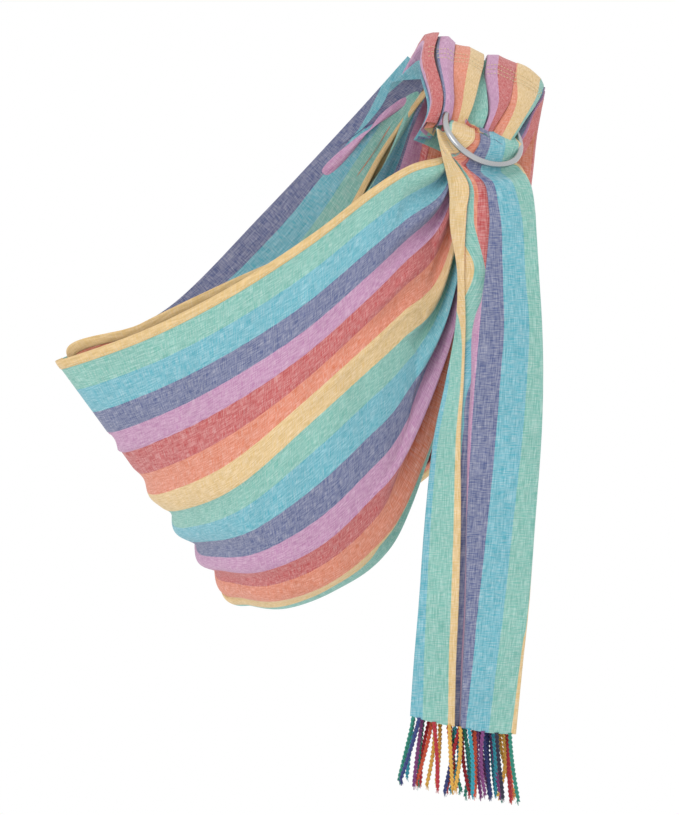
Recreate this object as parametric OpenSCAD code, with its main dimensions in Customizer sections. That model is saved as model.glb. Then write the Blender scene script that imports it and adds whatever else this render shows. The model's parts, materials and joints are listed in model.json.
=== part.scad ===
/* [Rings] */
// Clear width inside each sling ring
ring_inner_d = 77; // [70:1:80]
// Diameter of the ring wire
wire_d = 6.5; // [5:0.5:7]
// Tip of the ring plane, backwards over its upper edge
ring_lean = 41.3; // [38:0.1:44]
// Roll of the ring plane, down towards the arm
ring_roll = 34.5; // [32:0.1:37]

/* [Cloth] */
// Thickness of one layer of the worn cloth
cloth_t = 2; // [1.6:0.1:2.4]
// Gap left along each seam between two cloth parts, as a share of one cell of the cloth grid
seam_gap = 0.016; // [0.005:0.001:0.02]
// Thickness of the rolled hems
hem_t = 3.2; // [2.6:0.1:3.6]
// Width of a rolled hem, as a share of one cell of the cloth grid
hem_share = 0.07; // [0.05:0.01:0.1]
// Thickness of one folded bundle of the loose tail
bundle_t = 3; // [2:0.5:4]

/* [Fringe] */
// Number of twisted cords along the tail end
cord_count = 28; // [12:1:28]
// Diameter of one twisted cord
cord_d = 3; // [2:0.5:4]
// Length of one twisted cord
cord_l = 60; // [50:1:75]

/* [Hidden] */
CORDS = [for (i = [1:cord_count]) str("fringe_cord_", i)];

// Colours of the cloth, stripe by stripe.
YELLOW = [0.94, 0.80, 0.49];
TEAL = [0.45, 0.76, 0.67];
CYAN = [0.37, 0.75, 0.82];
INDIGO = [0.37, 0.39, 0.60];
ORCHID = [0.69, 0.47, 0.71];
RED = [0.80, 0.33, 0.37];
ORANGE = [0.92, 0.49, 0.37];

// The front ring: its centre and the three directions of its plane.
ring_r = (ring_inner_d + wire_d) / 2;
ring_at = [-7, -95, -73];
ring_x = [cos(ring_roll), 0, -sin(ring_roll)];
ring_y = [sin(ring_lean) * sin(ring_roll), cos(ring_lean), sin(ring_lean) * cos(ring_roll)];
ring_z = cross(ring_x, ring_y);
// The back ring lies above the front one and behind it.
back_up = 16;
back_behind = -13;

function ring_point(a, b, c) = ring_at + a * ring_x + b * ring_y + c * ring_z;
function front_arc(r, angle, c) = ring_point(r * cos(angle), r * sin(angle), c);
function back_arc(r, angle, c) = ring_point(r * cos(angle), back_up + r * sin(angle), back_behind + c);

// Smooth curve through four neighbours, between the middle two.
function curve(a, b, c, d, t) =
    b + 0.5 * t * (c - a + t * (2 * a - 5 * b + 4 * c - d + t * (3 * (b - c) + d - a)));
function clamp_index(i, n) = max(0, min(n - 1, i));
function before_first(row) = 2 * row[0] - row[1];
function after_last(row) = 2 * row[len(row) - 1] - row[len(row) - 2];
function item(row, i) = i < 0 ? before_first(row) : i >= len(row) ? after_last(row) : row[i];
function at(row, s) =
    let (i = clamp_index(floor(s), len(row) - 1), t = s - i)
    curve(item(row, i - 1), item(row, i), item(row, i + 1), item(row, i + 2), t);
// A point of a cloth grid: s counts its stations and r its lines.
function grid_point(grid, s, r) = at([for (station = grid) at(station, r)], s);
step = 0.01;
function normal(grid, s, r) =
    let (
        s0 = max(0, s - step),
        s1 = min(len(grid) - 1, s + step),
        r0 = max(0, r - step),
        r1 = min(len(grid[0]) - 1, r + step),
        along = grid_point(grid, s1, r) - grid_point(grid, s0, r),
        across = grid_point(grid, s, r1) - grid_point(grid, s, r0),
        n = cross(along, across)
    )
    n / norm(n);

// Closed shell of thickness t over part of a cloth grid, with n_s by n_r cells.
module sheet(grid, s_from, s_to, r_from, r_to, n_s, n_r, t = cloth_t) {
    places = [
        for (i = [0:n_s], j = [0:n_r])
            [s_from + (s_to - s_from) * i / n_s, r_from + (r_to - r_from) * j / n_r]
    ];
    middle = [for (p = places) grid_point(grid, p[0], p[1])];
    out = [for (p = places) normal(grid, p[0], p[1]) * t / 2];
    upper = [for (i = [0:len(places) - 1]) middle[i] + out[i]];
    lower = [for (i = [0:len(places) - 1]) middle[i] - out[i]];
    w = n_r + 1;
    m = len(places);
    cells = [for (i = [0:n_s - 1], j = [0:n_r - 1]) i * w + j];
    rim = concat(
        [for (j = [0:n_r - 1]) j],
        [for (i = [0:n_s - 1]) i * w + n_r],
        [for (j = [n_r:-1:1]) n_s * w + j],
        [for (i = [n_s:-1:1]) i * w]
    );
    faces = concat(
        [for (c = cells) each [[c, c + 1, c + w + 1], [c, c + w + 1, c + w]]],
        [for (c = cells) each [[m + c, m + c + w + 1, m + c + 1], [m + c, m + c + w, m + c + w + 1]]],
        [
            for (i = [0:len(rim) - 1])
                let (a = rim[i], b = rim[(i + 1) % len(rim)])
                each [[a, m + a, m + b], [a, m + b, b]]
        ]
    );
    polyhedron(concat(upper, lower), faces);
}

// The worn cloth, station by station from the rings over the shoulder, down the back,
// round the side and across the front to the rings again. Each station runs from the top
// rail to the bottom rail: lines 0 to 4 are outside, 4 is the fold under the pouch and
// 4 to 6 are inside the pouch.
WORN = [
    [[-52, -116, -50], [-42, -112, -56], [-28, -108, -62], [-8, -103, -69], [6, -100, -75], [28, -95, -83],
        [49, -75, -75]],
    [[-58, -92, -22], [-44, -88, -24], [-28, -84, -30], [-6, -77, -38], [12, -71, -44], [34, -65, -52],
        [54, -54, -54]],
    [[-63, -55, 14], [-48, -54, 8], [-30, -52, 2], [-8, -46, -6], [12, -42, -12], [36, -36, -20],
        [59, -28, -34]],
    [[-62, 5, 36], [-46, 0, 30], [-28, 0, 20], [-6, 0, 13], [14, 0, 6], [40, 0, -2], [63, 2, -22]],
    [[-80, 55, 16], [-60, 62, 0], [-40, 65, -15], [-14, 66, -28], [6, 64, -36], [34, 58, -48], [58, 48, -62]],
    [[-140, 100, -48], [-112, 104, -66], [-88, 107, -86], [-52, 110, -110], [-28, 110, -124],
        [12, 104, -148], [44, 90, -168]],
    [[-230, 120, -143], [-205, 126, -165], [-180, 128, -190], [-140, 128, -226], [-112, 127, -250],
        [-54, 120, -300], [0, 105, -345]],
    [[-325, 95, -240], [-295, 104, -275], [-262, 108, -312], [-215, 108, -358], [-180, 106, -388],
        [-128, 98, -420], [-92, 84, -440]],
    [[-400, 52, -280], [-348, 62, -350], [-318, 66, -395], [-280, 66, -440], [-252, 64, -468],
        [-222, 56, -460], [-196, 46, -440]],
    [[-441, 18, -300], [-375, 20, -392], [-333, 16, -450], [-290, 12, -502], [-262, 4, -540],
        [-300, 22, -450], [-425, 26, -302]],
    [[-350, -62, -271], [-320, -72, -375], [-295, -74, -447], [-266, -55, -512], [-240, -26, -545],
        [-290, -28, -420], [-352, -44, -263]],
    [[-262, -112, -229], [-255, -132, -342], [-245, -140, -421], [-225, -118, -510], [-205, -70, -543],
        [-235, -66, -400], [-262, -84, -221]],
    [[-180, -132, -177], [-185, -157, -295], [-180, -166, -364], [-170, -142, -484], [-158, -90, -525],
        [-175, -80, -370], [-180, -100, -185]],
    [[-120, -127, -131], [-125, -150, -242], [-125, -157, -314], [-122, -140, -440], [-112, -98, -495],
        [-118, -84, -330], [-118, -99, -148]],
    [[-80, -116, -106], [-88, -132, -205], [-88, -138, -280], [-88, -128, -395], [-84, -98, -440],
        [-78, -84, -280], [-76, -94, -126]],
    [[-50, -106, -98], [-52, -112, -168], [-50, -114, -238], [-46, -112, -285], [-40, -97, -300],
        [-42, -84, -210], [-46, -88, -122]],
    [[-38, -88, -92], [-30, -98, -112], [-18, -103, -124], [-4, -102, -130], [6, -94, -130],
        [2, -84, -118], [-22, -78, -100]],
];
last_station = len(WORN) - 1;

// The top-rail part of the back cloth, folded inwards: fold, middle and rail at five stations.
FLAP = [
    [[-76, 50, 13], [-64, 50, 2], [-50, 52, -10]],
    [[-138, 94, -50], [-120, 94, -64], [-102, 98, -80]],
    [[-230, 114, -146], [-202, 116, -172], [-172, 119, -202]],
    [[-320, 88, -242], [-299, 92, -262], [-277, 97, -284]],
    [[-384, 50, -278], [-372, 52, -287], [-360, 54, -298]],
];

// The return of the shoulder cloth: through the rings and up behind them.
TURN = [
    [ring_point(-22, -2, 4), ring_point(0, -4, 4), ring_point(22, -2, 4)],
    [ring_point(-22, 1, -8), ring_point(0, -1, -8), ring_point(22, 1, -8)],
    [ring_point(-24, 8, -21), ring_point(0, 6, -22), ring_point(24, 8, -21)],
    [ring_point(-34, 34, -24), ring_point(0, 34, -25), ring_point(34, 34, -24)],
    [ring_point(-40, 66, -22), ring_point(0, 68, -22), ring_point(40, 62, -22)],
];

// The cloth in the rings: up behind the back ring, over its lower edge and down inside the
// front ring. Each station runs from the neck side to the arm side.
back_turns = [-142, -116, -90, -65, -42];
front_turns = [-146, -108, -70, -32, 4];
BAND = [
    [for (a = back_turns) back_arc(54, a, -12)],
    [for (a = back_turns) back_arc(43, a, -8.5)],
    [for (a = back_turns) back_arc(35.5, a, -1)],
    [for (a = front_turns) front_arc(30, a, -3)],
    [for (a = front_turns) front_arc(42, a, -7.5)],
    [for (a = front_turns) front_arc(50, a, -9)],
    [[-44, -118, -122], [-24, -125, -127], [-2, -125, -127], [22, -118, -127], [42, -104, -122]],
];

// The loose tail: stations down its length, then its folds from left to right.
tail_top = -130;
tail_joint = -214;
tail_end = -650;
cut = 0.6;
UPPER_FRONT = [
    [[-45, -121, tail_top], [-24, -128, tail_top], [-2, -129, tail_top], [22, -122, tail_top],
        [43, -108, tail_top]],
    [[-43, -133, -172], [-22, -139, -172], [0, -140, -172], [24, -137, -172], [46, -128, -172]],
    [[-38, -143, tail_joint], [-18, -147, tail_joint], [2, -148, tail_joint], [25, -146, tail_joint],
        [47, -140, tail_joint]],
];
UPPER_BACK = [
    [[-36, -119, tail_top - 3], [0, -122, tail_top - 3], [32, -108, tail_top - 3]],
    [[-36, -127, -172], [0, -132, -172], [36, -124, -172]],
    [[-32, -135, tail_joint], [0, -139, tail_joint], [36, -134, tail_joint]],
];
RIGHT_FOLD = [
    [[-18, -147, tail_joint - cut], [14, -150, tail_joint - cut], [47, -143, tail_joint - cut]],
    [[-15, -152, -300], [18, -155, -300], [51, -148, -300]],
    [[-22, -154, -420], [14, -157, -420], [46, -150, -420]],
    [[-28, -154, -540], [8, -157, -540], [38, -150, -540]],
    [[-32, -152, tail_end - 6], [-4, -155, tail_end - 12], [24, -148, tail_end - 18]],
];
VALLEY = [
    [[-21, -141, tail_joint - cut], [-20, -141, tail_joint - cut - 1], [-17, -141, tail_joint - cut]],
    [[-28, -144, -300], [-22, -143, -300], [-16, -144, -300]],
    [[-32, -146, -420], [-26, -145, -420], [-20, -146, -420]],
    [[-38, -146, -540], [-32, -145, -540], [-26, -146, -540]],
    [[-40, -144, tail_end - 3], [-35, -143, tail_end - 3], [-29, -144, tail_end - 3]],
];
LEFT_FOLD = [
    [[-38, -143, tail_joint - cut], [-30, -148, tail_joint - cut], [-22, -147, tail_joint - cut]],
    [[-46, -148, -300], [-36, -153, -300], [-26, -152, -300]],
    [[-67, -150, -420], [-50, -155, -420], [-32, -154, -420]],
    [[-74, -150, -540], [-56, -155, -540], [-37, -154, -540]],
    [[-84, -148, tail_end], [-60, -153, tail_end - 3], [-38, -152, tail_end - 5]],
];
LAYER_2 = [
    [[-32, -135, tail_joint - cut], [0, -137, tail_joint - cut], [36, -134, tail_joint - cut]],
    [[-40, -140, -300], [0, -141, -300], [44, -139, -300]],
    [[-60, -143, -420], [-10, -142, -420], [42, -141, -420]],
    [[-64, -143, -540], [-14, -142, -540], [34, -141, -540]],
    [[-68, -141, tail_end + 4], [-20, -141, tail_end], [30, -140, tail_end - 4]],
];
LAYER_3 = [
    [[-26, -130, tail_joint - cut], [0, -132, tail_joint - cut], [32, -129, tail_joint - cut]],
    [[-28, -135, -300], [0, -136, -300], [44, -134, -300]],
    [[-50, -138, -420], [-10, -137, -420], [44, -136, -420]],
    [[-54, -138, -540], [-14, -137, -540], [40, -136, -540]],
    [[-50, -136, tail_end + 6], [-10, -136, tail_end + 3], [35, -135, tail_end - 2]],
];
// The woven end of the tail, just under its folds, from left to right.
END_HEM = [
    [[-82, -147, tail_end - 6], [-82, -147, tail_end - 11]],
    [[-45, -147, tail_end - 12], [-45, -147, tail_end - 17]],
    [[-15, -147, tail_end - 18], [-15, -147, tail_end - 23]],
    [[12, -147, tail_end - 23], [12, -147, tail_end - 28]],
    [[34, -146, tail_end - 25], [34, -146, tail_end - 30]],
];

module torus() {
    rotate_extrude($fn = 96)
        translate([ring_r, 0])
            circle(d = wire_d, $fn = 32);
}

module on_front_ring() {
    translate(ring_at)
        rotate([ring_lean, ring_roll, 0])
            children();
}

module ring_front() {
    color("silver")
        on_front_ring()
            torus();
}

module ring_back() {
    color("silver")
        on_front_ring()
            translate([0, back_up, back_behind])
                torus();
}

module ring_band() {
    color(YELLOW)
        sheet(BAND, 0, 6, 0, 4, 18, 8);
}

module pleats_neck() {
    color(RED)
        sheet(WORN, 0, 4, 0, 2, 12, 4);
}

module pleats_middle() {
    color(YELLOW)
        sheet(WORN, 0, 4, 2, 4, 12, 4);
}

module pleats_arm() {
    color(ORCHID)
        sheet(WORN, 0, 4, 4, 6, 12, 4);
}

module shoulder_turn() {
    color(TEAL)
        sheet(TURN, 0, 4, 0, 2, 10, 4);
}

// One row of thread across the fold, between the return and the front layer.
thread_d = 1.2;
row_gap = 6;
module stitch_row(i) {
    color(YELLOW)
        on_front_ring()
            translate([0, 66 + row_gap * i, -18])
                rotate([0, 90, 0])
                    cylinder(d = thread_d, h = 70, center = true, $fn = 16);
}

module back_panel_upper() {
    color(ORCHID)
        sheet(WORN, 4, 8, 0, 4, 12, 8);
}

module back_panel_lower() {
    color(CYAN)
        sheet(WORN, 4, 8, 4 + seam_gap, 6 - hem_share - 1.6 * seam_gap, 12, 4);
}

module back_bottom_hem() {
    color(YELLOW)
        sheet(WORN, 4, 8, 6 - hem_share, 6, 12, 1, hem_t);
}

module back_flap() {
    color(INDIGO)
        sheet(FLAP, 0, 4, 0, 2 - 2 * hem_share - seam_gap, 8, 4);
}

module back_flap_hem() {
    color(YELLOW)
        sheet(FLAP, 0, 4, 2 - 2 * hem_share, 2, 8, 1, hem_t);
}

module pouch_side() {
    color(TEAL)
        sheet(WORN, 8, 10 - seam_gap, hem_share + seam_gap, 4 - seam_gap, 10, 8);
}

module side_tuck() {
    color(CYAN)
        sheet(WORN, 8 + seam_gap, 10 - 2 * seam_gap, 4, 6 - hem_share - 2 * seam_gap, 10, 4);
}

module pouch_front() {
    color(RED)
        sheet(WORN, 10, 14, hem_share + seam_gap, 3.4, 12, 9);
}

module pouch_bottom() {
    color(CYAN)
        sheet(WORN, 10, 14, 3.4 + seam_gap, 4.6, 12, 4);
}

module pouch_inside() {
    color(ORANGE)
        sheet(WORN, 10, 14 - 2 * seam_gap, 4.6 + seam_gap, 6 - hem_share - seam_gap, 12, 4);
}

module front_fan() {
    color(INDIGO)
        sheet(WORN, 14 + seam_gap, last_station, hem_share + seam_gap, 4, 8, 8);
}

module front_fan_inside() {
    color(ORCHID)
        sheet(WORN, 14 + seam_gap, last_station, 4 + seam_gap, 6 - hem_share - seam_gap, 8, 4);
}

module top_rail_hem() {
    color(YELLOW)
        sheet(WORN, 8, last_station, 0, hem_share, 24, 1, hem_t);
}

module bottom_rail_hem() {
    color(YELLOW)
        sheet(WORN, 8, last_station, 6 - hem_share, 6, 24, 1, hem_t);
}

module tail_upper_front() {
    color(YELLOW)
        sheet(UPPER_FRONT, 0, 2, 0, 4, 6, 8, bundle_t);
}

module tail_upper_back() {
    color(TEAL)
        sheet(UPPER_BACK, 0, 2, 0, 2, 6, 4, bundle_t);
}

module tail_right_fold() {
    color(CYAN)
        sheet(RIGHT_FOLD, 0, 4, 0, 2, 10, 4, bundle_t);
}

module tail_valley() {
    color(ORCHID)
        sheet(VALLEY, 0, 4, 0, 2, 8, 2, cloth_t);
}

module tail_left_fold() {
    color(TEAL)
        sheet(LEFT_FOLD, 0, 4, 0, 2, 10, 4, bundle_t);
}

module tail_layer_2() {
    color(ORANGE)
        sheet(LAYER_2, 0, 4, 0, 2, 10, 4, cloth_t);
}

module tail_layer_3() {
    color(YELLOW)
        sheet(LAYER_3, 0, 4, 0, 2, 10, 4, cloth_t);
}

module tail_end_hem() {
    color(YELLOW)
        sheet(END_HEM, 0, 4, 0, 1, 8, 1, hem_t);
}

// One twisted cord of the fringe, hanging just under the end hem. The cords fan out a little.
lean_most = 8;
module fringe_cord(i) {
    place = 4 * (i - 0.5) / cord_count;
    foot = grid_point(END_HEM, place, 1);
    lean = lean_most * (1 - 2 * (i - 0.5) / cord_count);
    color(i % 3 == 0 ? RED : i % 3 == 1 ? INDIGO : TEAL)
        translate(foot - [0, 0, 1 + cord_d / 8])
            rotate([0, lean, 0])
                translate([0, 0, -cord_l])
                    cylinder(d = cord_d, h = cord_l, $fn = 24);
}

pleats_neck();
pleats_middle();
pleats_arm();
shoulder_turn();
stitch_row(1);  // stitch_row_1
stitch_row(2);  // stitch_row_2
stitch_row(3);  // stitch_row_3
ring_front();
ring_back();
ring_band();
back_panel_upper();
back_panel_lower();
back_flap();
back_flap_hem();
pouch_side();
side_tuck();
pouch_front();
pouch_bottom();
pouch_inside();
front_fan();
front_fan_inside();
top_rail_hem();
bottom_rail_hem();
back_bottom_hem();
tail_upper_front();
tail_upper_back();
tail_right_fold();
tail_valley();
tail_left_fold();
tail_layer_2();
tail_layer_3();
tail_end_hem();
for (i = [1:cord_count])
    fringe_cord(i);
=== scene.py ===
import json
import math

import bpy
import numpy as np
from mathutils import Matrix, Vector


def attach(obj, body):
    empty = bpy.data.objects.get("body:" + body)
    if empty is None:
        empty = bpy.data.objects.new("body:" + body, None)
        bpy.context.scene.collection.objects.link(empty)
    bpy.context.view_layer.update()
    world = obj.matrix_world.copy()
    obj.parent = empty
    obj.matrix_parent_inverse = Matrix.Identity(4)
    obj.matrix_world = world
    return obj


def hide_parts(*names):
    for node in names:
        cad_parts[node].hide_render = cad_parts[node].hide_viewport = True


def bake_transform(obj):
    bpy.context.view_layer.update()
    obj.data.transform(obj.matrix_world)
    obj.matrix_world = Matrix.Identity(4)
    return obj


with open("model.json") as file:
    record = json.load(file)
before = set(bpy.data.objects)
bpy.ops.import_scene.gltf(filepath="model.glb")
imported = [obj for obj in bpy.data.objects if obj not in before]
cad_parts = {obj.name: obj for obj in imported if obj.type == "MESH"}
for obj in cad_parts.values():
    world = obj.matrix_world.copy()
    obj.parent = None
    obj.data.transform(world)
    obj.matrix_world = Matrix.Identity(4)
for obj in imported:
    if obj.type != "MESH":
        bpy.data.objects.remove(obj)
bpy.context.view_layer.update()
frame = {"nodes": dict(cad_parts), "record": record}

MM = 0.001
rng = np.random.default_rng(7)
nodes = frame["nodes"]


# ---------------------------------------------------------------- camera, lights, floor
VIEW_CENTRE = Vector((-0.1505, -0.10, -0.3475))
VIEW_WIDTH = 0.679
CAMERA_AWAY = 4.5
SENSOR = 36.0


def add_camera():
    data = bpy.data.cameras.new("camera")
    data.sensor_fit = "HORIZONTAL"
    data.sensor_width = SENSOR
    data.lens = SENSOR * CAMERA_AWAY / VIEW_WIDTH
    data.clip_end = 50
    camera = bpy.data.objects.new("camera", data)
    camera.location = VIEW_CENTRE - Vector((0, CAMERA_AWAY, 0))
    camera.rotation_euler = (math.pi / 2, 0, 0)
    bpy.context.scene.collection.objects.link(camera)
    bpy.context.scene.camera = camera


def add_area(name, place, size, power, target=VIEW_CENTRE):
    data = bpy.data.lights.new(name, "AREA")
    data.shape = "SQUARE"
    data.size = size
    data.energy = power
    lamp = bpy.data.objects.new(name, data)
    lamp.location = place
    lamp.rotation_euler = (Vector(target) - Vector(place)).to_track_quat("-Z", "Y").to_euler()
    bpy.context.scene.collection.objects.link(lamp)


def link(name, mesh):
    piece = bpy.data.objects.new(name, mesh)
    bpy.context.scene.collection.objects.link(piece)
    return piece


def add_stage():
    """A plain pale floor well under the sling."""
    low, half = -1.5, 5.0
    verts = [(-half, -half, low), (half, -half, low), (half, half, low), (-half, half, low)]
    mesh = bpy.data.meshes.new("floor")
    mesh.from_pydata(verts, [], [(0, 1, 2, 3)])
    floor = link("floor", mesh)
    material = bpy.data.materials.new("floor_white")
    material.use_nodes = True
    shader = material.node_tree.nodes["Principled BSDF"]
    shader.inputs["Base Color"].default_value = (0.93, 0.93, 0.93, 1)
    shader.inputs["Roughness"].default_value = 0.9
    mesh.materials.append(material)


def set_light():
    world = bpy.data.worlds.new("world")
    bpy.context.scene.world = world
    world.use_nodes = True
    back = world.node_tree.nodes["Background"]
    back.inputs["Color"].default_value = (1, 1, 1, 1)
    back.inputs["Strength"].default_value = 1.0
    add_area("key", (-1.9, -2.6, 1.5), 1.6, 22)
    bpy.context.scene.view_settings.view_transform = "Standard"


# ---------------------------------------------------------------- cloth surfaces
STRIPE = 25.5            # one colour stripe across the cloth, mm
EDGE = 0.3               # the yellow edge before the first stripe, in stripes
LAST = 27.6              # the far edge of the cloth, in stripes


def item(row, i):
    n = len(row)
    if i < 0:
        return 2 * row[0] - row[1]
    if i >= n:
        return 2 * row[-1] - row[-2]
    return row[i]


def spline(row, s):
    """Smooth curve through the rows' points at the places s; row is (n, ...) and s any shape."""
    row = np.asarray(row, float)
    n = len(row)
    padded = np.stack([item(row, i) for i in range(-1, n + 2)])
    s = np.clip(np.asarray(s, float), 0, n - 1)
    i = np.clip(np.floor(s).astype(int), 0, n - 1)
    t = (s - i).reshape(s.shape + (1,) * (row.ndim - 1))
    a, b, c, d = padded[i], padded[i + 1], padded[i + 2], padded[np.minimum(i + 3, n + 2)]
    return b + 0.5 * t * (c - a + t * (2 * a - 5 * b + 4 * c - d + t * (3 * (b - c) + d - a)))


def surface(grid, s, r):
    """Points of a cloth grid (stations, lines, 3) at the arrays s and r of one shape."""
    grid = np.asarray(grid, float)
    n = grid.shape[1]
    padded_r = np.stack([item(grid.transpose(1, 0, 2), i) for i in range(-1, n + 2)])
    r = np.clip(r, 0, n - 1)
    j = np.clip(np.floor(r).astype(int), 0, n - 1)
    t = (r - j)[..., None]
    rows = []
    for k in range(4):
        line = np.minimum(j + k, n + 2)
        rows.append(along_line(padded_r, line, s))
    a, b, c, d = rows
    return b + 0.5 * t * (c - a + t * (2 * a - 5 * b + 4 * c - d + t * (3 * (b - c) + d - a)))


def along_line(lines, line, s):
    """The point at s of each given line; lines is (line, station, 3)."""
    n = lines.shape[1]
    ends = np.concatenate([2 * lines[:, :1] - lines[:, 1:2], lines,
                           2 * lines[:, -1:] - lines[:, -2:-1],
                           3 * lines[:, -1:] - 2 * lines[:, -2:-1]], axis=1)
    s = np.clip(s, 0, n - 1)
    i = np.clip(np.floor(s).astype(int), 0, n - 1)
    t = (s - i)[..., None]
    a, b, c, d = (ends[line, i + k] for k in range(4))
    return b + 0.5 * t * (c - a + t * (2 * a - 5 * b + 4 * c - d + t * (3 * (b - c) + d - a)))


def normals(points):
    """Unit normals of a grid of points (n, m, 3)."""
    along = np.gradient(points, axis=0)
    across = np.gradient(points, axis=1)
    n = np.cross(along, across)
    return n / np.maximum(np.linalg.norm(n, axis=-1, keepdims=True), 1e-9)


def smoothstep(x):
    x = np.clip(x, 0, 1)
    return x * x * (3 - 2 * x)


def waves(x, seed, count=5, low=0.5, high=2.0):
    """A smooth, repeatable wiggle of x between about -1 and 1."""
    draw = np.random.default_rng(seed)
    total = np.zeros_like(x)
    for _ in range(count):
        total += np.sin(x * draw.uniform(low, high) + draw.uniform(0, 6.28)) * draw.uniform(0.5, 1)
    return total / count * 1.6


def cloth_mesh(name, points, k, along_mm, material):
    """A quad mesh over a grid of points in mm, with its stripe place and length as the UV map."""
    n, m = points.shape[:2]
    index = np.arange(n * m).reshape(n, m)
    faces = np.stack([index[:-1, :-1], index[:-1, 1:], index[1:, 1:], index[1:, :-1]], -1).reshape(-1, 4)
    mesh = bpy.data.meshes.new(name)
    mesh.vertices.add(n * m)
    mesh.vertices.foreach_set("co", (points * MM).reshape(-1))
    mesh.loops.add(faces.size)
    mesh.loops.foreach_set("vertex_index", faces.reshape(-1))
    mesh.polygons.add(len(faces))
    mesh.polygons.foreach_set("loop_start", np.arange(0, faces.size, 4))
    mesh.polygons.foreach_set("use_smooth", [True] * len(faces))
    uv = np.stack([k * STRIPE * MM, along_mm * MM], -1).reshape(-1, 2)
    layer = mesh.uv_layers.new(name="weave")
    layer.data.foreach_set("uv", uv[faces.reshape(-1)].reshape(-1))
    mesh.update(calc_edges=True)
    mesh.validate()
    mesh.materials.append(material)
    return link(name, mesh)


# ---------------------------------------------------------------- materials
def srgb(*channels):
    """A screen colour, 0 to 255 in each channel, as a linear colour with alpha."""
    shares = [c / 255 for c in channels]
    return tuple(c / 12.92 if c <= 0.04 else ((c + 0.055) / 1.055) ** 2.4 for c in shares) + (1,)


def scaled(colour, share):
    return tuple(c * share for c in colour[:3]) + (1,)


DYES = {
    "teal": srgb(131, 201, 187),
    "cyan": srgb(100, 189, 207),
    "indigo": srgb(98, 110, 156),
    "orchid": srgb(205, 146, 190),
    "red": srgb(208, 88, 88),
    "orange": srgb(238, 136, 100),
    "yellow": srgb(242, 205, 140),
}
CLOTH_SHADE = 0.84        # the cloth is a little darker than its lit colour
DYES = {name: scaled(dye, CLOTH_SHADE) for name, dye in DYES.items()}
ORDER = ["teal", "cyan", "indigo", "orchid", "red", "orange", "yellow"]


class Nodes:
    """Short ways to build a node tree."""

    def __init__(self, name):
        self.material = bpy.data.materials.new(name)
        self.material.use_nodes = True
        self.tree = self.material.node_tree
        self.shader = self.tree.nodes["Principled BSDF"]

    def add(self, kind, inputs=(), **values):
        node = self.tree.nodes.new(kind)
        for key, value in values.items():
            setattr(node, key, value)
        for socket, value in dict(inputs).items():
            self.put(node.inputs[socket], value)
        return node

    def put(self, socket, value):
        if isinstance(value, bpy.types.NodeSocket):
            self.tree.links.new(value, socket)
        else:
            socket.default_value = value

    def math(self, operation, a, b=0.0, clamp=False):
        node = self.add("ShaderNodeMath", {0: a, 1: b}, operation=operation)
        node.use_clamp = clamp
        return node.outputs[0]

    def mix(self, factor, a, b, blend="MIX"):
        node = self.add("ShaderNodeMix", data_type="RGBA", blend_type=blend)
        self.put(node.inputs["Factor"], factor)
        self.put(node.inputs["A"], a)
        self.put(node.inputs["B"], b)
        return node.outputs["Result"]

    def stretched_noise(self, across, along, across_scale, along_scale):
        """Noise with its own scale across and along the cloth."""
        x = self.math("MULTIPLY", across, across_scale)
        y = self.math("MULTIPLY", along, along_scale)
        place = self.add("ShaderNodeCombineXYZ", {0: x, 1: y}).outputs[0]
        return self.add("ShaderNodeTexNoise", {"Vector": place, "Scale": 1.0, "Detail": 2.0}).outputs[0]


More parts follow.
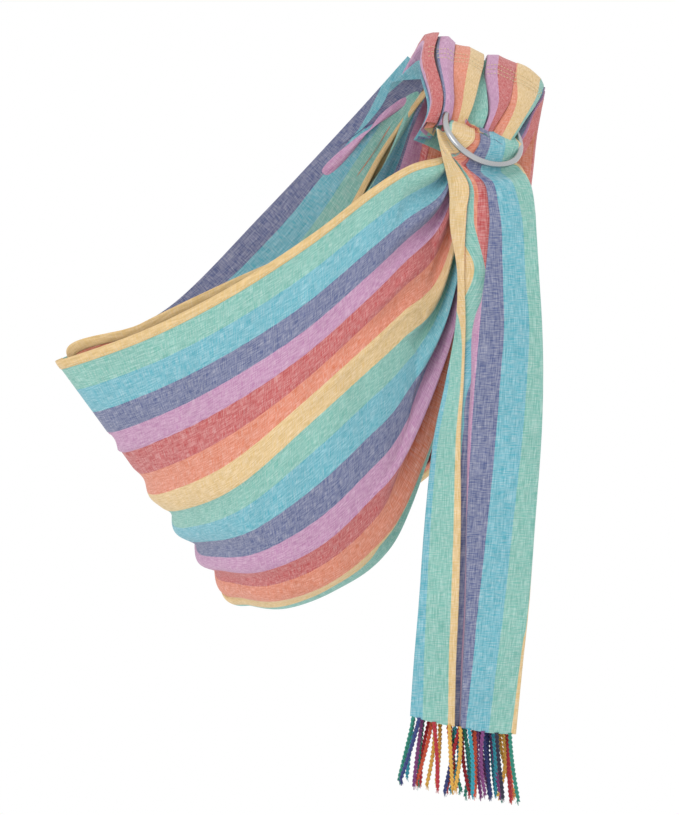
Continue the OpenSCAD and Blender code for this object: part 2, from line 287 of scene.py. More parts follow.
def woven(name, plain=None, rough=0.86, weave_mm=0.9, fleck=0.34):
    """Chambray cloth: dyed warp in stripes (or one plain dye), pale weft flecks and a fine plain weave."""
    n = Nodes(name)
    uv = n.add("ShaderNodeUVMap", uv_map="weave").outputs[0]
    split = n.add("ShaderNodeSeparateXYZ", {0: uv})
    across, along = split.outputs[0], split.outputs[1]
    if plain is None:
        wobble = n.add("ShaderNodeTexNoise", {"Vector": uv, "Scale": 60.0, "Detail": 2.0}).outputs[0]
        shift = n.math("MULTIPLY", n.math("SUBTRACT", wobble, 0.5), 0.0012)
        place = n.math("DIVIDE", n.math("SUBTRACT", n.math("ADD", across, shift), EDGE * STRIPE * MM),
                       7 * STRIPE * MM)
        turn = n.math("FRACT", n.math("ADD", place, 4.0))
        ramp = n.add("ShaderNodeValToRGB", {0: turn})
        ramp.color_ramp.interpolation = "CONSTANT"
        stops = ramp.color_ramp.elements
        while len(stops) < len(ORDER):
            stops.new(0.5)
        for i, dye in enumerate(ORDER):
            stops[i].position = i / 7
            stops[i].color = DYES[dye]
        colour = ramp.outputs[0]
    else:
        colour = plain
    # Warp yarns run along the cloth and weft yarns across it, each a little uneven.
    warp = n.stretched_noise(across, along, 900.0, 70.0)
    weft = n.stretched_noise(across, along, 110.0, 900.0)
    patches = n.add("ShaderNodeTexNoise", {"Vector": uv, "Scale": 14.0, "Detail": 3.0}).outputs[0]
    mixed = n.math("ADD", weft, n.math("MULTIPLY", warp, 0.6))
    flecks = n.math("MULTIPLY", n.math("SUBTRACT", mixed, 0.62), 2.2, True)
    pale = n.math("MULTIPLY", flecks, fleck)
    colour = n.mix(pale, colour, srgb(240, 236, 232))
    depth = n.math("ADD", n.math("MULTIPLY", n.math("SUBTRACT", warp, 0.5), 0.55), 0.96)
    faded = n.math("ADD", n.math("MULTIPLY", n.math("SUBTRACT", patches, 0.5), 0.22), 1.0)
    shade = n.math("MULTIPLY", depth, faded)
    grey = n.add("ShaderNodeCombineColor", {0: shade, 1: shade, 2: shade}).outputs[0]
    colour = n.mix(1.0, colour, grey, "MULTIPLY")
    n.put(n.shader.inputs["Base Color"], colour)
    step = 2 * math.pi / (weave_mm * MM)
    over = n.math("MULTIPLY", n.math("SINE", n.math("MULTIPLY", across, step)),
                  n.math("SINE", n.math("MULTIPLY", along, step)))
    height = n.math("ADD", n.math("MULTIPLY", over, 0.35), n.math("ADD", warp, weft))
    bump = n.add("ShaderNodeBump", {"Height": height, "Strength": 0.28, "Distance": 0.0006})
    n.put(n.shader.inputs["Normal"], bump.outputs[0])
    uneven = n.math("ADD", n.math("MULTIPLY", weft, 0.16), rough - 0.08)
    n.put(n.shader.inputs["Roughness"], uneven)
    n.shader.inputs["Sheen Weight"].default_value = 0.22
    n.shader.inputs["Sheen Roughness"].default_value = 0.45
    n.shader.inputs["Specular IOR Level"].default_value = 0.22
    return n.material


def satin_metal(name):
    n = Nodes(name)
    where = n.add("ShaderNodeTexCoord").outputs["Object"]
    stretch = n.add("ShaderNodeMapping", {"Vector": where, "Scale": (900.0, 900.0, 900.0)}).outputs[0]
    grain = n.add("ShaderNodeTexNoise", {"Vector": stretch, "Scale": 1.0, "Detail": 3.0}).outputs[0]
    smear = n.add("ShaderNodeTexNoise", {"Vector": where, "Scale": 25.0, "Detail": 1.0}).outputs[0]
    n.shader.inputs["Metallic"].default_value = 1.0
    colour = n.mix(smear, (0.36, 0.37, 0.38, 1), (0.56, 0.57, 0.58, 1))
    n.put(n.shader.inputs["Base Color"], colour)
    n.put(n.shader.inputs["Roughness"], n.math("ADD", n.math("MULTIPLY", smear, 0.14), 0.20))
    bump = n.add("ShaderNodeBump", {"Height": grain, "Strength": 0.02, "Distance": 0.0001})
    n.put(n.shader.inputs["Normal"], bump.outputs[0])
    return n.material


def yarn(name, dye):
    """Twisted cotton yarn with fine darker plies."""
    n = Nodes(name)
    where = n.add("ShaderNodeTexCoord").outputs["Object"]
    fine = n.add("ShaderNodeTexNoise", {"Vector": where, "Scale": 1400.0, "Detail": 2.0}).outputs[0]
    slow = n.add("ShaderNodeTexNoise", {"Vector": where, "Scale": 120.0, "Detail": 1.0}).outputs[0]
    dark = scaled(dye, 0.55)
    light = tuple(min(1, c * 1.25 + 0.02) for c in dye[:3]) + (1,)
    mixed = n.math("ADD", n.math("MULTIPLY", fine, 0.7), n.math("MULTIPLY", slow, 0.3))
    n.put(n.shader.inputs["Base Color"], n.mix(mixed, dark, light))
    n.shader.inputs["Sheen Weight"].default_value = 0.2
    n.put(n.shader.inputs["Roughness"], n.math("ADD", n.math("MULTIPLY", fine, 0.2), 0.72))
    bump = n.add("ShaderNodeBump", {"Height": fine, "Strength": 0.3, "Distance": 0.0003})
    n.put(n.shader.inputs["Normal"], bump.outputs[0])
    return n.material


# ---------------------------------------------------------------- the worn cloth
# The same grid as the CAD model's: stations from the rings over the shoulder, down the back,
# round the side and across the front to the rings; lines from the top rail to the bottom rail.
WORN = np.array([
    [(-52, -116, -50), (-42, -112, -56), (-28, -108, -62), (-8, -103, -69), (6, -100, -75), (28, -95, -83),
     (49, -75, -75)],
    [(-58, -92, -22), (-44, -88, -24), (-28, -84, -30), (-6, -77, -38), (12, -71, -44), (34, -65, -52),
     (54, -54, -54)],
    [(-63, -55, 14), (-48, -54, 8), (-30, -52, 2), (-8, -46, -6), (12, -42, -12), (36, -36, -20),
     (59, -28, -34)],
    [(-62, 5, 36), (-46, 0, 30), (-28, 0, 20), (-6, 0, 13), (14, 0, 6), (40, 0, -2), (63, 2, -22)],
    [(-80, 55, 16), (-60, 62, 0), (-40, 65, -15), (-14, 66, -28), (6, 64, -36), (34, 58, -48),
     (58, 48, -62)],
    [(-140, 100, -48), (-112, 104, -66), (-88, 107, -86), (-52, 110, -110), (-28, 110, -124),
     (12, 104, -148), (44, 90, -168)],
    [(-230, 120, -143), (-205, 126, -165), (-180, 128, -190), (-140, 128, -226), (-112, 127, -250),
     (-54, 120, -300), (0, 105, -345)],
    [(-325, 95, -240), (-295, 104, -275), (-262, 108, -312), (-215, 108, -358), (-180, 106, -388),
     (-128, 98, -420), (-92, 84, -440)],
    [(-400, 52, -280), (-348, 62, -350), (-318, 66, -395), (-280, 66, -440), (-252, 64, -468),
     (-222, 56, -460), (-196, 46, -440)],
    [(-441, 18, -300), (-375, 20, -392), (-333, 16, -450), (-290, 12, -502), (-262, 4, -540),
     (-300, 22, -450), (-425, 26, -302)],
    [(-350, -62, -271), (-320, -72, -375), (-295, -74, -447), (-266, -55, -512), (-240, -26, -545),
     (-290, -28, -420), (-352, -44, -263)],
    [(-262, -112, -229), (-255, -132, -342), (-245, -140, -421), (-225, -118, -510), (-205, -70, -543),
     (-235, -66, -400), (-262, -84, -221)],
    [(-180, -132, -177), (-185, -157, -295), (-180, -166, -364), (-170, -142, -484), (-158, -90, -525),
     (-175, -80, -370), (-180, -100, -185)],
    [(-120, -127, -131), (-125, -150, -242), (-125, -157, -314), (-122, -140, -440), (-112, -98, -495),
     (-118, -84, -330), (-118, -99, -148)],
    [(-80, -116, -106), (-88, -132, -205), (-88, -138, -280), (-88, -128, -395), (-84, -98, -440),
     (-78, -84, -280), (-76, -94, -126)],
    [(-50, -106, -98), (-52, -112, -168), (-50, -114, -238), (-46, -112, -285), (-40, -97, -300),
     (-42, -84, -210), (-46, -88, -122)],
    [(-38, -88, -92), (-30, -98, -112), (-18, -103, -124), (-4, -102, -130), (6, -94, -130),
     (2, -84, -118), (-22, -78, -100)],
], float)
FOLD_STRIPES, FOLD_DEPTH = 2.1, 11.0                # a gathered fold's width in stripes and depth in mm
PLEAT_RISE, PLEAT_SINK = 1.35, 3.0                  # how much the pleats' given depths are deepened
CURL_DEPTH, CURL_STATIONS = 20, 0.75                # the pleats' ends curl in this deep, over this far
LINE_K = [0, 4.3, 7.3, 11.3, 15.4, 20.8, LAST]      # the stripe place of each line
# The first stripe place at each station: the top-rail part is folded inwards down the back.
FOLD_K = [0, 0, 0, 0, 1.6, 3.1, 3.3, 3.2, 1.8, 0, 0, 0, 0, 0, 0, 0, 0]

# Knife pleats over the shoulder: stripe place, place across at the top and at the rings, and
# how far the fold stands out. Each run that goes back under the one before it is hidden.
PLEATS = np.array([
    (0, 0.40, 0.40, -10), (2.1, 0.02, 0.04, -9), (3.2, 0.22, 0.20, -7), (4.25, 0.0, 0.02, -5),
    (4.4, 0.0, 0.0, -1), (5.25, 0.11, 0.13, 1), (5.5, 0.10, 0.12, -2),
    (6.3, 0.02, 0.04, -3), (7.2, 0.20, 0.20, -4), (8.4, 0.05, 0.06, -6), (9.3, 0.18, 0.20, -6),
    (10.0, 0.12, 0.155, -3), (10.15, 0.115, 0.15, 0), (10.8, 0.20, 0.20, 3), (11.35, 0.275, 0.265, 1),
    (11.8, 0.22, 0.22, -3), (12.2, 0.27, 0.26, -2), (12.3, 0.27, 0.265, 0), (13.3, 0.38, 0.325, 3),
    (14.25, 0.50, 0.40, 1), (14.45, 0.47, 0.38, -4), (14.6, 0.48, 0.385, -3), (15.3, 0.545, 0.55, -1),
    (16.3, 0.42, 0.45, -7), (17.3, 0.54, 0.56, -4), (17.4, 0.53, 0.565, 0), (18.3, 0.62, 0.60, 3),
    (19.3, 0.76, 0.645, 1), (19.6, 0.72, 0.63, -3), (19.8, 0.73, 0.64, -1), (20.3, 0.77, 0.72, 2),
    (21.3, 0.94, 0.785, 2), (21.9, 0.985, 0.80, -1), (22.6, 0.90, 0.74, -6), (23.3, 0.95, 0.80, -6),
    (23.45, 0.955, 0.80, -3), (24.3, 0.985, 0.85, -1), (24.9, 0.97, 0.80, -4), (25.3, 1.0, 0.88, -2),
    (26.3, 1.0, 1.0, -3), (27.3, 0.86, 0.90, -9), (LAST, 0.82, 0.86, -9),
])


def pleated(s, k):
    """Line place and stand-out of the shoulder pleats at stations s for stripe places k."""
    top = np.interp(k, PLEATS[:, 0], PLEATS[:, 1])
    low = np.interp(k, PLEATS[:, 0], PLEATS[:, 2])
    out = np.interp(k, PLEATS[:, 0], PLEATS[:, 3])
    down = smoothstep(1 - s / 2.4)
    return 6 * (top + (low - top) * down), np.where(out < 0, out * PLEAT_SINK, out * PLEAT_RISE)


def worn(s, w):
    """Points and stripe places of the worn cloth at stations s and shares w across."""
    first = np.interp(s, np.arange(len(FOLD_K)), FOLD_K)
    k = first + w * (LAST - first)
    open_line = np.zeros_like(k)
    for i in range(len(s)):
        row = list(LINE_K)
        row[0] = first[i, 0]
        open_line[i] = np.interp(k[i], row, range(7))
    pleat_line, out = pleated(s, k)
    opened = smoothstep((s - 3.4) / 2.6)
    sway = waves(s * 1.1 + k * 0.25, 71, 4, 0.5, 1.4) * 0.11
    sway = sway + waves(s * 2.6 - k * 0.4, 73, 4, 0.5, 1.4) * 0.05
    edge_room = smoothstep(pleat_line / 0.6) * smoothstep((6 - pleat_line) / 0.6)
    pleat_line = pleat_line + sway * edge_room * smoothstep(s / 0.6)
    line = pleat_line + (open_line - pleat_line) * opened
    base = surface(WORN, s, line)
    up = surface(WORN_OUT, s, line)
    up /= np.linalg.norm(up, axis=-1, keepdims=True)
    shift = out * (1 - opened)
    # Soft folds that run with the cloth, as deep as the gathering there needs.
    place = np.stack([np.gradient(base[..., i], axis=1) for i in range(3)], -1)
    spacing = np.linalg.norm(place, axis=-1) / np.maximum(np.gradient(k, axis=1) * STRIPE, 1e-6)
    drawn = np.sqrt(np.clip(1 - np.clip(spacing, 0.1, 1) ** 2, 0, 1)) * opened
    wander = waves(s * 0.9, 5, 3, 0.5, 1.2) * 1.1 + waves(k * 0.5, 9, 3, 0.6, 1.4) * 1.5
    phase = 2 * np.pi * k / FOLD_STRIPES + wander
    deep = FOLD_DEPTH * (1 + 0.12 * waves(k * 0.9 + s * 0.7, 21, 4, 0.5, 1.5))
    folds = np.sin(phase) * deep * drawn
    ripples = waves(s * 3.0 + k * 0.35, 11, 4, 0.6, 1.4) * 1.3 * smoothstep((s - 8.6) / 1.5)
    calm = 1 - 0.75 * smoothstep((s - 14.9) / 1.1)
    calm = calm * (1 - 0.6 * smoothstep((s - 8.2) / 1.4) * smoothstep((14.2 - s) / 1.5))
    shift = shift + (folds + ripples) * calm
    # Over the shoulder the pleats are crushed and puffed, and their ends curl in through the ring.
    crush = waves(s * 1.5 + k * 0.8, 61, 5, 0.5, 1.6) * 2.6
    crush = crush + waves(s * 3.4 - k * 0.6, 67, 5, 0.6, 1.5) * 1.5
    curl = -CURL_DEPTH * np.clip(1 - s / CURL_STATIONS, 0, 1) ** 2
    shift = shift + (crush + curl) * (1 - opened)
    return base + up * shift[..., None], k


def smooth_normal_grid():
    """Outward normals at the grid's own points."""
    n_s, n_r = WORN.shape[:2]
    fine_s, fine_r = np.meshgrid(np.linspace(0, n_s - 1, 16 * (n_s - 1) + 1),
                                 np.linspace(0, n_r - 1, 8 * (n_r - 1) + 1), indexing="ij")
    n = -normals(surface(WORN, fine_s, fine_r))
    return n[::16, ::8]


WORN_OUT = smooth_normal_grid()
STATION_LENGTH = 120.0      # one station of the worn cloth, in mm of weave


def cloth_zone(name, s_from, s_to, rows, columns):
    """One run of the worn cloth, from rail to rail."""
    s, w = np.meshgrid(np.linspace(s_from, s_to, rows), np.linspace(0, 1, columns), indexing="ij")
    points, k = worn(s, w)
    return cloth_mesh(name, points, k, STATION_LENGTH * s, stripes)


# ---------------------------------------------------------------- the rings' frame and the tail
RING_R = 41.75
RING_AT = np.array((-7.0, -95.0, -73.0))
LEAN, ROLL = math.radians(41.3), math.radians(34.5)
RING_X = np.array((math.cos(ROLL), 0, -math.sin(ROLL)))
RING_Y = np.array((math.sin(LEAN) * math.sin(ROLL), math.cos(LEAN), math.sin(LEAN) * math.cos(ROLL)))
RING_Z = np.cross(RING_X, RING_Y)


def ring_point(a, b, c):
    return RING_AT + a * RING_X + b * RING_Y + c * RING_Z


def front_arc(r, angle, c):
    a = math.radians(angle)
    return ring_point(r * math.cos(a), r * math.sin(a), c)


def off_ring_plane(x, z, c):
    """The point over (x, z) that stands c in front of the front ring's plane."""
    y = (c - RING_Z[0] * (x - RING_AT[0]) - RING_Z[2] * (z - RING_AT[2])) / RING_Z[1] + RING_AT[1]
    return np.array((x, y, z))


UNDER = [-146, -108, -70, -32, 4]     # where the cloth's five lines pass the front ring, in degrees
BAND_TOP = [
    [off_ring_plane(x, z, -9) for x, z in ((-36, -56), (-22, -58), (-5, -61), (12, -64), (25, -66))],
    [off_ring_plane(x, z, 1) for x, z in ((-42, -62), (-24, -67), (-5, -71), (14, -75), (30, -78))],
    [off_ring_plane(x, z, 3) for x, z in ((-44, -71), (-26, -79), (-5, -85), (15, -87), (33, -85))],
    [front_arc(RING_R, a, -7.0) for a in UNDER],
    [front_arc(50, a, -8.5) for a in UNDER],
]
# Tail rows: height, left and right edge, and how far forward the middle and the edges hang.
TAIL_ROWS = [
    (-125, -44, 41, -127, -114), (-150, -43, 45, -137, -123), (-172, -42, 46, -142, -131),
    (-214, -35, 48, -150, -142), (-266, -37, 51, -154, -147), (-320, -47, 52, -156, -149),
    (-380, -60, 50, -158, -151), (-460, -69, 44, -158, -151), (-540, -75, 38, -158, -151),
    (-600, -80, 32, -157, -150), (-652, -84, 25, -156, -149),
]
HEM_DROP = [0, 7, 12, 17, 19]         # the tail's end slopes down to the right, mm at its five lines


def tail_row(z, left, right, middle, edge, drop=(0, 0, 0, 0, 0)):
    bulge = [edge, (middle * 3 + edge) / 4, middle, (middle * 3 + edge) / 4, edge]
    return [np.array((left + (right - left) * i / 4, bulge[i], z - drop[i])) for i in range(5)]


TAIL = np.array(BAND_TOP + [tail_row(*row) for row in TAIL_ROWS[:-1]]
                + [tail_row(*TAIL_ROWS[-1], HEM_DROP)])
# For each station: the valley's left and right lips, the stripe places of the left edge, the
# two lips and the right edge, the gap between layers, and how far the valley is a narrow V.
TAIL_FOLDS = np.array([
    (.38, .41, 7.5, 6.3, 3.1, 0.0, 0.6, 0), (.38, .41, 7.5, 6.3, 3.1, 0.0, 0.6, 0),
    (.37, .41, 7.5, 6.3, 3.1, 0.0, 0.7, 0), (.29, .38, 7.4, 6.3, 3.1, 0.0, 0.8, 0),
    (.28, .40, 7.4, 6.3, 3.1, 0.1, 1.0, 0), (.26, .42, 7.3, 6.3, 2.9, 0.3, 1.4, 0),
    (.22, .44, 7.2, 6.3, 2.9, 0.5, 1.8, 0), (.19, .43, 7.1, 6.3, 3.0, 0.6, 2.1, 0),
    (.10, .33, 6.8, 6.35, 3.15, 0.6, 2.5, .3), (.13, .28, 7.6, 7.0, 3.3, 0.7, 2.8, 1),
    (.20, .30, 8.7, 7.0, 3.3, 0.6, 3.0, 1), (.27, .355, 8.7, 6.98, 3.25, 0.5, 3.0, 1),
    (.345, .39, 8.7, 6.95, 3.15, 0.35, 3.0, 1), (.38, .44, 8.75, 6.95, 2.8, 0.25, 3.0, 1),
    (.405, .465, 8.85, 6.97, 2.7, 0.12, 3.0, 1), (.44, .485, 8.95, 7.0, 2.55, 0.0, 3.0, 1),
])
BACK_LAYERS = 6
PER_FOLD = 16


def tail_knots(row):
    """The folds across one station, from the right edge: share across, depth and stripe place."""
    lip_l, lip_r, k_left, k_l, k_r, k_right, gap, narrow = row
    wide = [(lip_r + 0.30, gap, k_r + 1.1), (lip_l - 0.05, 2.0 * gap, 5.8),
            (lip_l - 0.055, 1.3 * gap, 6.1)]
    vee = [(lip_l + 0.035, 2.4 * gap, 4.5), (lip_r + 0.20, 3.1 * gap, 5.7),
           (lip_l - 0.05, 2.9 * gap, 6.7)]
    mid = [tuple(w + (v - w) * narrow for w, v in zip(*pair)) for pair in zip(wide, vee)]
    knots = [(1.0, 1.0 * gap, k_right), (0.985, 0.25 * gap, k_right + 0.12),
             ((0.985 + lip_r) / 2, 0, (k_right + 0.12 + k_r) / 2), (lip_r, 0, k_r)] + mid
    knots += [(lip_l, 0.15 * gap, k_l), (lip_l * 0.5, 0.0, (k_l + k_left) / 2),
              (0.0, 0.8 * gap, k_left)]
    share = (LAST - k_left) / (BACK_LAYERS - 0.3)
    for i in range(BACK_LAYERS):
        end = (0.985 - 0.006 * i, 0.01 * i)[i % 2]
        if i == BACK_LAYERS - 1:
            end = 0.66
        turn = (3.4 + i) * gap
        knots.append((0.5 * (end + 0.5), turn, k_left + (i + 0.5) * share))
        knots.append((end, turn + 0.3 * gap, min(LAST, k_left + (i + 1) * share)))
    return np.array(knots)


def rounded(values, width=5):
    """Rounds the corners of the folds, keeping the two free edges where they are."""
    wide = np.concatenate([np.repeat(values[:, :1], width // 2, 1), values,
                           np.repeat(values[:, -1:], width // 2, 1)], 1)
    return sum(wide[:, i:i + values.shape[1]] for i in range(width)) / width


def tail_points(t):
    """Points, stripe places and length of the band and tail at the station places t (n,)."""
    knots = spline(np.stack([tail_knots(row) for row in TAIL_FOLDS]), t)
    places = np.linspace(0, knots.shape[1] - 1, PER_FOLD * (knots.shape[1] - 1) + 1)
    low = np.minimum(np.floor(places).astype(int), knots.shape[1] - 2)
    part = (places - low)[None, :, None]
    fine = knots[:, low] * (1 - part) + knots[:, low + 1] * part
    share, depth, k = rounded(fine[..., 0]), rounded(fine[..., 1]), fine[..., 2]
    tt = np.broadcast_to(t[:, None], share.shape)
    base = surface(TAIL, tt, share * 4)
    flat_t, flat_r = np.meshgrid(t, np.linspace(0, 4, 41), indexing="ij")
    inward = -normals(surface(TAIL, flat_t, flat_r))
    inward *= np.sign(inward[..., 1:2].mean() or 1)
    pick = np.clip(np.rint(share * 40).astype(int), 0, 40)
    push = inward[np.arange(len(t))[:, None], pick]
    low_down = smoothstep((tt - 6) / 3)
    hang = waves(k * 1.3 + tt * 0.35, 31, 4, 0.6, 1.5) * 1.4 * low_down
    ripple = waves(tt * 2.3 + share * 2.0, 37, 4, 0.5, 1.3) * 0.9 * low_down
    return base + push * (depth + hang + ripple)[..., None], k, -base[..., 2]


def tail_zone(name, t_from, t_to, rows):
    points, k, length = tail_points(np.linspace(t_from, t_to, rows))
    return cloth_mesh(name, points, k, length, stripes)


# ---------------------------------------------------------------- hems, threads, fringe
def tube(loops):
    """The points and faces of a closed tube through loops of points (n, m, 3), with flat ends."""
    n, m = loops.shape[:2]
    faces = [(i * m + j, i * m + (j + 1) % m, (i + 1) * m + (j + 1) % m, (i + 1) * m + j)
             for i in range(n - 1) for j in range(m)]
    faces += [tuple(range(m))[::-1], tuple((n - 1) * m + j for j in range(m))]
    return loops.reshape(-1, 3), faces


def join_parts(name, parts, material):
    """One mesh of one material from (points in mm, faces) parts."""
    verts, faces, base = [], [], 0
    for points, part_faces in parts:
        verts.append(points)
        faces += [tuple(base + i for i in f) for f in part_faces]
        base += len(points)
    mesh = bpy.data.meshes.new(name)
    mesh.from_pydata((np.concatenate(verts) * MM).tolist(), [], faces)
    mesh.materials.append(material)
    mesh.polygons.foreach_set("use_smooth", [True] * len(faces))
    mesh.update()
    return link(name, mesh)


def hem_strip(name, edge, inner, out):
    """A rolled hem between a cloth edge and a line beside it, both (n, 3), standing out both ways."""
    width = inner - edge
    ring = []
    for a in np.linspace(0, 2 * math.pi, 12, endpoint=False):
        across = 0.5 - 0.54 * math.cos(a)
        ring.append(edge + width * across + out * (math.sin(a) * (0.75 + 0.25 * abs(math.sin(a)))))
    loops = np.stack(ring, 1)
    n, m = loops.shape[:2]
    points = np.concatenate([loops, loops[:, :1]], 1)
    k = np.broadcast_to(np.linspace(0, 0.6, m + 1), (n, m + 1))
    steps = np.linalg.norm(np.diff(edge, axis=0), axis=1)
    along = np.concatenate([[0], np.cumsum(steps)])[:, None] * np.ones((1, m + 1))
    return cloth_mesh(name, points, k, along, hem_cloth)


def stitches(line, out, stitch, gap, radius):
    """The parts of a row of stitches along a line of points, each a small rounded bar on the cloth."""
    steps = np.linalg.norm(np.diff(line, axis=0), axis=1)
    far = np.concatenate([[0], np.cumsum(steps)])
    parts = []
    place = gap
    while place + stitch < far[-1]:
        spots = place + stitch * np.array([0, 0.12, 0.5, 0.88, 1.0])
        thick = radius * np.array([0.35, 0.85, 1.0, 0.85, 0.35])
        middle = np.stack([np.interp(spots, far, line[:, i]) for i in range(3)], -1)
        up = np.stack([np.interp(spots, far, out[:, i]) for i in range(3)], -1)
        ahead = middle[-1] - middle[0]
        ahead /= max(np.linalg.norm(ahead), 1e-9)
        side = np.cross(up, ahead)
        turns = np.linspace(0, 2 * math.pi, 6, endpoint=False)
        loops = (middle[:, None] + side[:, None] * (np.cos(turns) * thick[:, None])[..., None]
                 + up[:, None] * (np.sin(turns) * thick[:, None])[..., None])
        parts.append(tube(loops))
        place += stitch + gap
    return parts


FRINGE_DYES = {
    "navy": srgb(44, 58, 124), "turquoise": srgb(40, 160, 180), "crimson": srgb(186, 34, 52),
    "sea_green": srgb(36, 142, 122), "gold": srgb(232, 178, 74), "vermilion": srgb(222, 86, 52),
    "plum": srgb(134, 62, 128), "ink": srgb(34, 34, 62),
}
FRINGE_ORDER = ["sea_green", "turquoise", "navy", "plum", "crimson", "vermilion", "gold"]
INK_SHARE = 0.12                          # how many of the cords are near-black
CORD_COUNT, CORD_LENGTH = 44, 67.0
PLY_R, PLY_OFF, PLY_TURN = 1.35, 1.15, 9.0  # a ply's radius, its distance off the middle, one twist
TUFT_STRANDS, STRAND_R = 9, 0.24


def fringe_cord(name, foot, lean, sway, length, material):
    """One cord of two twisted plies, with a loose tuft at its end."""
    t = np.linspace(0, 1, 30)
    drop = length * t
    x = foot[0] + lean[0] * t ** 1.3 + sway[0] * np.sin(math.pi * t)
    y = foot[1] + lean[1] * t ** 1.3 + sway[1] * np.sin(math.pi * t)
    middle = np.stack([x, y, foot[2] + 1 - drop], -1)
    parts = []
    turns = np.linspace(0, 2 * math.pi, 7, endpoint=False)
    circle = np.stack([np.cos(turns), np.sin(turns), 0 * turns], -1)
    for ply in (0, math.pi):
        twist = ply + drop * 2 * math.pi / PLY_TURN
        swell = np.where(t < 0.9, 1.0, 1.0 - (t - 0.9) * 4)
        centre = middle + np.stack([np.cos(twist), np.sin(twist), 0 * twist], -1) * PLY_OFF
        loops = centre[:, None] + circle[None] * (PLY_R * swell)[:, None, None]
        parts.append(tube(loops[::-1]))
    for _ in range(TUFT_STRANDS):
        way = np.array((rng.uniform(-1, 1), rng.uniform(-1, 1), 0)) * rng.uniform(0.5, 2.6)
        reach = rng.uniform(4, 9)
        h = np.linspace(0, 1, 4)
        strand = middle[-3] + way * (h ** 1.5)[:, None] + np.array((0, 0, -1.0)) * (reach * h)[:, None]
        loops = strand[:, None] + circle[::2][None] * STRAND_R
        parts.append(tube(loops[::-1]))
    return join_parts(name, parts, material)


# ---------------------------------------------------------------- the pieces
add_camera()
set_light()
add_stage()
stripes = woven("woven_stripe")
hem_cloth = woven("rolled_hem", plain=DYES["yellow"], weave_mm=0.8, fleck=0.2)
thread = yarn("sewing_thread", srgb(236, 214, 170))
metal = satin_metal("ring_metal")

shoulder = cloth_zone("shoulder_pleats", 0, 4, 100, 520)
back = cloth_zone("back_cloth", 4, 8, 110, 300)
seat = cloth_zone("seat_cloth", 8, 16, 240, 300)


def zone_piece(piece, body, stands_for):
    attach(piece, body)
    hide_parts(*stands_for)
    return piece


zone_piece(shoulder, "root", ["pleats_neck", "pleats_middle", "pleats_arm"])
zone_piece(back, "root", ["back_panel_upper", "back_panel_lower"])
zone_piece(seat, "root", ["pouch_side", "side_tuck", "pouch_front", "pouch_bottom", "pouch_inside",
                          "front_fan", "front_fan_inside"])

# The top-rail part folded inwards down the back, from its fold to its rail.
FLAP_IN = np.array([
    [(-64, 50, 2), (-50, 52, -10)], [(-120, 94, -64), (-102, 98, -80)],
    [(-202, 116, -172), (-172, 119, -202)], [(-299, 92, -262), (-277, 97, -284)],
    [(-372, 52, -287), (-360, 54, -298)],
], float)
FLAP = np.concatenate([WORN[4:9, :1], FLAP_IN], axis=1)
FLAP_K = FOLD_K[4:9]


def flap_points(rows, columns):
    s, r = np.meshgrid(np.linspace(0, 4, rows), np.linspace(0, 2, columns), indexing="ij")
    points = surface(FLAP, s, r)
    k = np.interp(s, range(5), FLAP_K) * (1 - r / 2)
    wave = waves(s * 2.6, 41, 4, 0.6, 1.6) * 2.2 * (r / 2) ** 1.5
    return points - normals(points) * wave[..., None], k, STATION_LENGTH * s


points, k, length = flap_points(120, 40)
flap = zone_piece(cloth_mesh("back_flap", points, k, length, stripes), "root", ["back_flap"])
flap_out = -normals(points)[:, -1]
flap_hem = hem_strip("back_flap_hem", points[:, -1], points[:, -5], flap_out)
zone_piece(flap_hem, "root", ["back_flap_hem"])


def rail(s_from, s_to, w, w_in, rows):
    """A rail's edge, the line beside it and the outward direction between them."""
    # The full width goes through worn() so that the folds are the cloth's own.
    all_s, all_w = np.meshgrid(np.linspace(s_from, s_to, rows), np.linspace(0, 1, 301), indexing="ij")
    points, _ = worn(all_s, all_w)
    up = -normals(points)
    a, b = int(round(w * 300)), int(round(w_in * 300))
    return points[:, a], points[:, b], up[:, (a + b) // 2]


HEM_W = 0.012               # a rolled hem's width, as a share of the cloth's
hems = []
for name, s_from, s_to, w, w_in in (
    ("top_rail_hem", 8.6, 16, 0, HEM_W),
    ("bottom_rail_hem", 8, 16, 1, 1 - HEM_W),
    ("back_bottom_hem", 4, 8, 1, 1 - HEM_W),
):
    edge, inner, out = rail(s_from, s_to, w, w_in, int(32 * (s_to - s_from)))
    hem = zone_piece(hem_strip(name, edge, inner, out), "root", [name])
    seam = edge + (inner - edge) * 0.8 + out * 0.85
    run = join_parts(name + "_stitches", stitches(seam, out, 2.6, 1.5, 0.38), thread)
    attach(run, "root")
    hems += [hem, run]

# The return of the shoulder cloth, through the rings and up behind them.
TURN = np.array([
    [ring_point(-22, -2, 4), ring_point(0, -4, 4), ring_point(22, -2, 4)],
    [ring_point(-22, 1, -8), ring_point(0, -1, -8), ring_point(22, 1, -8)],
    [ring_point(-24, 8, -21), ring_point(0, 6, -22), ring_point(24, 8, -21)],
    [ring_point(-34, 34, -24), ring_point(0, 34, -25), ring_point(34, 34, -24)],
    [ring_point(-40, 66, -22), ring_point(0, 68, -22), ring_point(40, 62, -22)],
])
s, r = np.meshgrid(np.linspace(0, 4, 60), np.linspace(0, 2, 90), indexing="ij")
points = surface(TURN, s, r)
points = points + normals(points) * (waves(r * 9, 51, 4, 0.6, 1.5) * 2.0)[..., None]
turn = cloth_mesh("shoulder_turn", points, 4 + r * 3.2, 30 * s, stripes)
zone_piece(turn, "root", ["shoulder_turn"])

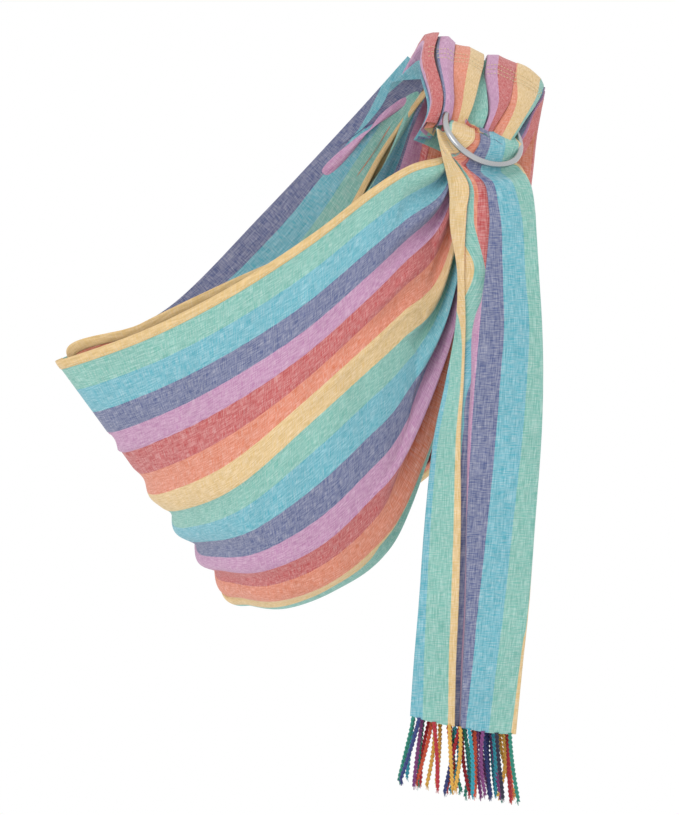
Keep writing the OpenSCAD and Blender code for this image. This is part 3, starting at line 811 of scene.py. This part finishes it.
# Rows of thread that close the fold over the rings, seen on the pleats' outer runs.
ROW_FROM, ROW_GAP = 1.9, 0.16        # the first row's station and the next rows' distance, in stations
SHOWN_DEPTH = -0.5                   # pleats that lie deeper than this are hidden
for i in range(3):
    row = ROW_FROM + ROW_GAP * i
    s, w = np.meshgrid(np.array([row, row + 0.02]), np.linspace(0, 1, 521), indexing="ij")
    points, k = worn(s, w)
    up = -normals(points)[0]
    line = points[0]
    shown = np.interp(k[0], PLEATS[:, 0], PLEATS[:, 3]) > SHOWN_DEPTH
    runs = np.split(np.arange(len(line)), np.nonzero(np.diff(shown.astype(int)))[0] + 1)
    parts = []
    for run in runs:
        if len(run) > 12 and shown[run[0]]:
            parts += stitches(line[run] + up[run] * 0.4, up[run], 2.2, 1.3, 0.35)
    name = f"stitch_row_{i + 1}"
    zone_piece(join_parts(name, parts, thread), "root", [name])

# The band in the rings and the loose tail.
BAND_END, SLIDE_END, TAIL_LAST = 5.0, 7.0, 15.0
band = zone_piece(tail_zone("ring_band", 0, BAND_END, 70), "root", ["ring_band"])
upper = tail_zone("tail_upper", BAND_END, SLIDE_END, 50)
tail = tail_zone("tail_cloth", SLIDE_END, TAIL_LAST, 200)
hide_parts("tail_upper_front", "tail_upper_back")
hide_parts("tail_right_fold", "tail_valley", "tail_left_fold", "tail_layer_2", "tail_layer_3",
            "tail_end_hem")
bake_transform(upper)
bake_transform(tail)

# The fringe: cords hang from every layer of the tail's end.
end_points, end_k, _ = tail_points(np.array([TAIL_LAST - 0.02, TAIL_LAST]))
dyes = {name: yarn("fringe_" + name, dye) for name, dye in FRINGE_DYES.items()}
groups = {"fringe_left": [], "fringe_middle": [], "fringe_right": []}
for i in range(CORD_COUNT):
    place = end_k[1, 0] + (LAST - end_k[1, 0]) * (i + 0.5) / CORD_COUNT
    foot = end_points[1, int(np.argmin(np.abs(end_k[1] - place)))]
    lean = (rng.normal(0, 7.0) + (foot[0] + 25) * 0.2, rng.normal(0, 3.0))
    sway = (rng.normal(0, 2.5), rng.normal(0, 1.5))
    dye = FRINGE_ORDER[i * 5 % 7] if rng.random() > INK_SHARE else "ink"
    length = CORD_LENGTH * rng.uniform(0.92, 1.03)
    cord = fringe_cord(f"fringe_yarn_{i + 1}", foot, lean, sway, length, dyes[dye])
    body = "fringe_left" if foot[0] < -44 else "fringe_middle" if foot[0] < -6 else "fringe_right"
    groups[body].append(cord)
    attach(cord, body)
for body, pieces in groups.items():
    for i, node in enumerate(frame["record"]["behaviour"]["bodies"][body]):
        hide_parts(node)

# The rings keep their CAD shape and get their metal.
for name in ("ring_front", "ring_back"):
    nodes[name].data.materials.clear()
    nodes[name].data.materials.append(metal)
